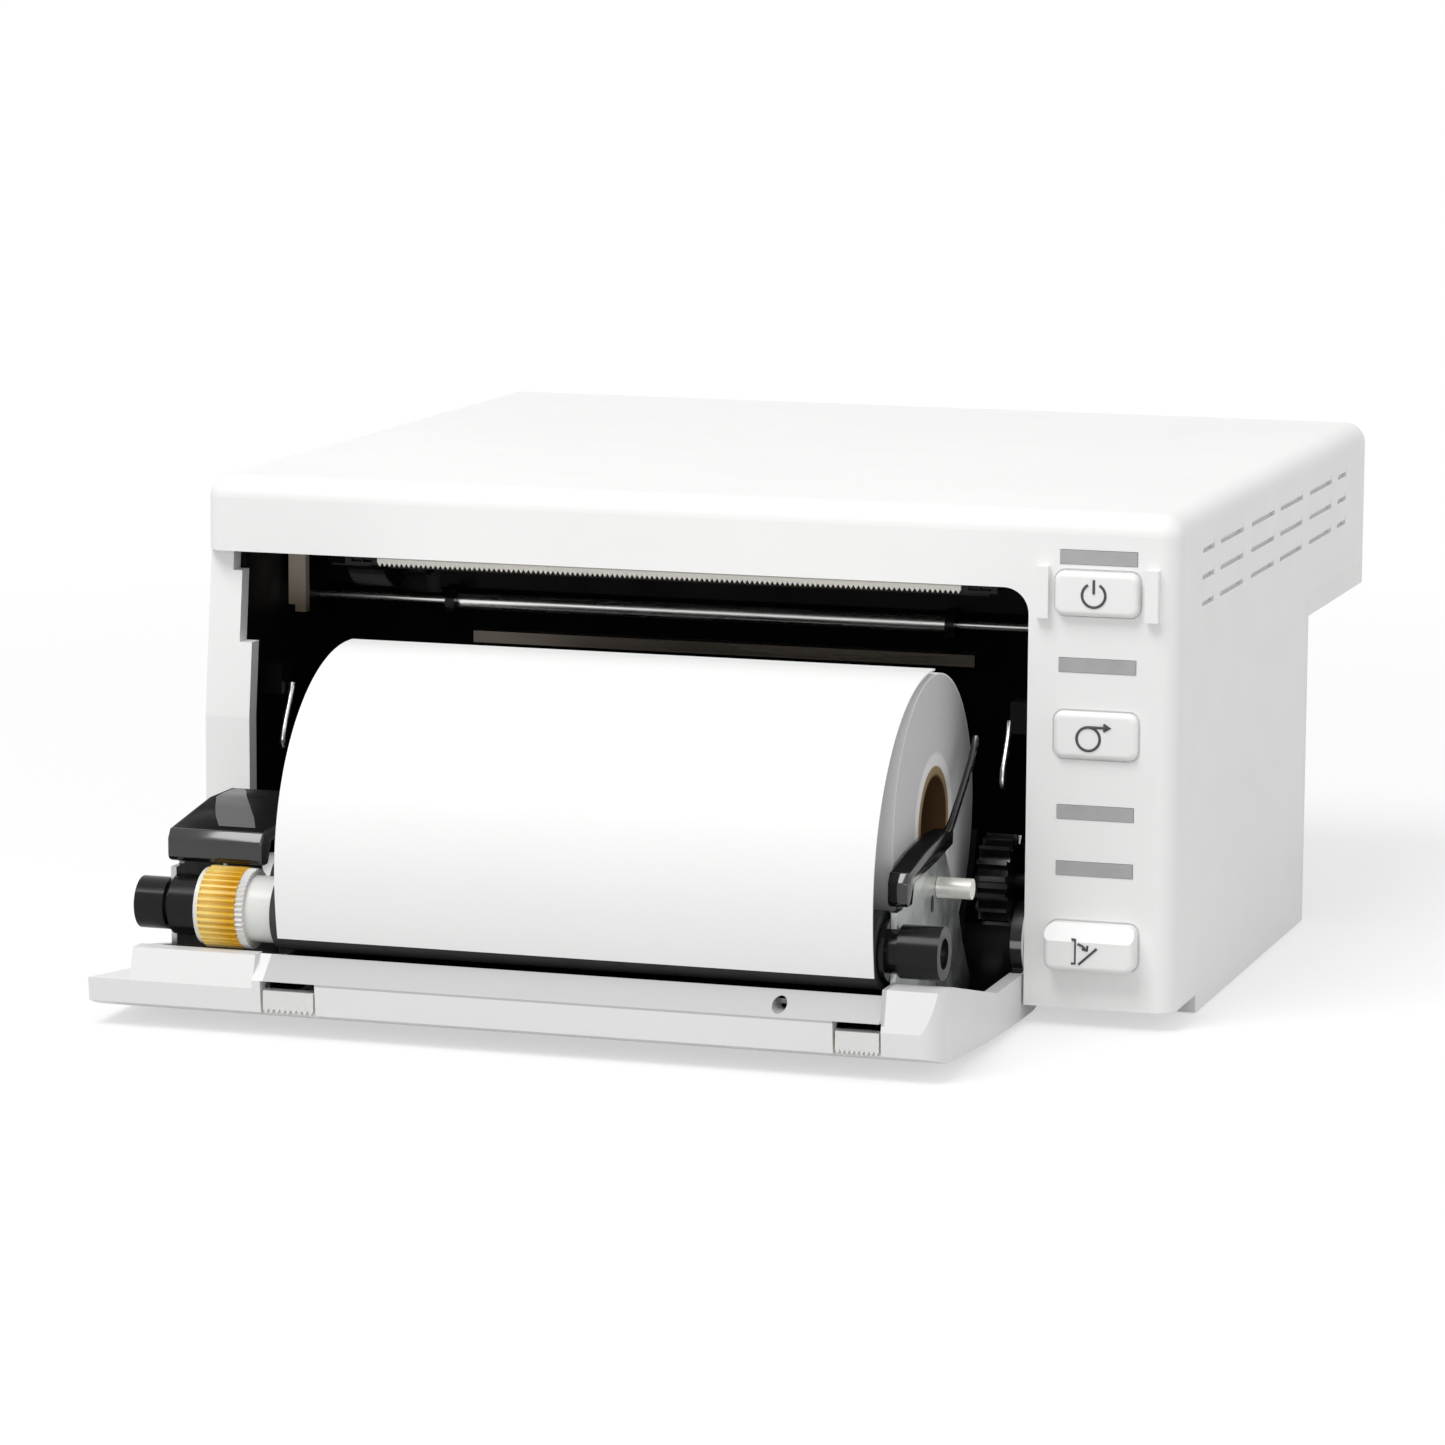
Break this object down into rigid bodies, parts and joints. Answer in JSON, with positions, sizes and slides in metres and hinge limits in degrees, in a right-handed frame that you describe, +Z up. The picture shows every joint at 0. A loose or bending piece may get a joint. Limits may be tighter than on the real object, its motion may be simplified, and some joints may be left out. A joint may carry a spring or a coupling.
{
  "type": "compact thermal printer",
  "caption": "White desktop thermal printer with its front door folded down, paper roll on the door, platen with gear, catches, lamps and push buttons.",
  "frame": {"origin": "centre of the case's plan on the plane that its rubber feet rest on", "axes": "+X to the right seen from the front, +Y from the front to the back, +Z up"},
  "size_m": [0.14, 0.167, 0.0702],
  "materials": {
    "case_white": "satin",
    "case_grey": "satin",
    "black_plastic": "gloss",
    "lamp_grey": "matte",
    "white_plastic": "satin",
    "cream_plastic": "satin",
    "yellow_plastic": "satin",
    "plated_steel": "satin",
    "polished_steel": "polished",
    "spring_steel": "polished",
    "aluminium": "satin",
    "head_ceramic": "gloss",
    "black_rubber": "matte",
    "thermal_paper": "smooth",
    "core_cardboard": "matte",
    "board_green": "satin",
    "motor_steel": "satin"
  },
  "bodies": {
    "case": {"cover": "case_white", "base": "case_grey", "foot_pads": "black_rubber", "case_screws": "spring_steel", "rear_panel": "case_grey", "mains_inlet": "black_plastic", "data_socket": "plated_steel", "inner_frame": "black_plastic", "guide_rod": "polished_steel", "rod_collar_left": "black_plastic", "rod_collar_right": "black_plastic", "guide_bar": "polished_steel", "sensor_post": "cream_plastic", "catch_spring_left": "spring_steel", "catch_spring_right": "spring_steel", "print_head": "head_ceramic", "heat_sink": "aluminium", "cutter_blade": "polished_steel", "blade_holder": "black_plastic", "motor": "motor_steel", "power_lamp": "lamp_grey", "print_lamp": "lamp_grey", "paper_lamp": "lamp_grey", "alarm_lamp": "lamp_grey", "switch_board": "board_green", "main_board": "board_green", "power_board": "board_green", "hinge_pin_left": "polished_steel", "hinge_pin_right": "polished_steel"},
    "door": {"door_cover": "case_white", "comb_left": "white_plastic", "comb_right": "white_plastic", "side_plate_left": "plated_steel", "side_plate_right": "plated_steel", "latch_pin_left": "polished_steel", "latch_pin_right": "polished_steel", "holder_left": "black_plastic", "holder_right": "black_plastic", "roll_cradle": "black_plastic", "bearing_left": "black_plastic", "bearing_right": "black_plastic", "paper_tail": "thermal_paper"},
    "platen": {"platen_shaft": "polished_steel", "platen_rubber": "black_rubber", "gear_hub": "white_plastic", "platen_gear": "yellow_plastic"},
    "roll": {"paper_roll": "thermal_paper", "roll_core": "core_cardboard"},
    "power_button_body": {"power_button": "case_white"},
    "feed_button_body": {"feed_button": "case_white"},
    "open_button_body": {"open_button": "case_white"},
    "wide_gear_body": {"wide_gear": "black_plastic"},
    "drive_gear_body": {"drive_gear": "black_plastic"},
    "front_idler_body": {"front_idler": "black_plastic"},
    "rear_idler_body": {"rear_idler": "black_plastic"},
    "motor_pinion_body": {"motor_pinion": "black_plastic"}
  },
  "joints": [
    {"name": "door_hinge", "type": "hinge", "parent": "case", "child": "door", "pos_m": [0, -0.0565, 0.0107], "axis": [1, 0, 0], "range_deg": [-90, 0], "deforming": ["paper_tail", "catch_spring_left", "catch_spring_right"]},
    {"name": "platen_spin", "type": "hinge", "parent": "door", "child": "platen", "pos_m": [-0.008, -0.097, 0.0161], "axis": [1, 0, 0], "continuous": true},
    {"name": "roll_spin", "type": "hinge", "parent": "door", "child": "roll", "pos_m": [-0.0021, -0.0735, 0.0291], "axis": [1, 0, 0], "continuous": true},
    {"name": "rear_idler_spin", "type": "hinge", "parent": "case", "child": "rear_idler_body", "pos_m": [-0.0526, -0.02515, 0.05978], "axis": [1, 0, 0], "continuous": true},
    {"name": "front_idler_spin", "type": "hinge", "parent": "case", "child": "front_idler_body", "pos_m": [-0.0526, -0.03927, 0.05978], "axis": [1, 0, 0], "continuous": true},
    {"name": "drive_gear_spin", "type": "hinge", "parent": "case", "child": "drive_gear_body", "pos_m": [-0.0526, -0.04987, 0.06049], "axis": [1, 0, 0], "continuous": true},
    {"name": "motor_pinion_spin", "type": "hinge", "parent": "case", "child": "motor_pinion_body", "pos_m": [-0.0526, -0.01628, 0.05978], "axis": [1, 0, 0], "continuous": true},
    {"name": "wide_gear_spin", "type": "hinge", "parent": "case", "child": "wide_gear_body", "pos_m": [0.0445, -0.057, 0.0187], "axis": [1, 0, 0], "continuous": true},
    {"name": "power_press", "type": "slide", "parent": "case", "child": "power_button_body", "axis": [0, 1, 0], "range_m": [0, 0.001], "stiffness_N_per_m": 300},
    {"name": "feed_press", "type": "slide", "parent": "case", "child": "feed_button_body", "axis": [0, 1, 0], "range_m": [0, 0.001], "stiffness_N_per_m": 300},
    {"name": "open_press", "type": "slide", "parent": "case", "child": "open_button_body", "axis": [0, 1, 0], "range_m": [0, 0.002], "stiffness_N_per_m": 400}
  ],
  "couplings": [
    {"joint": "front_idler_spin", "follows": "rear_idler_spin", "ratio": -1},
    {"joint": "drive_gear_spin", "follows": "rear_idler_spin", "ratio": 2},
    {"joint": "motor_pinion_spin", "follows": "rear_idler_spin", "ratio": -4}
  ]
}
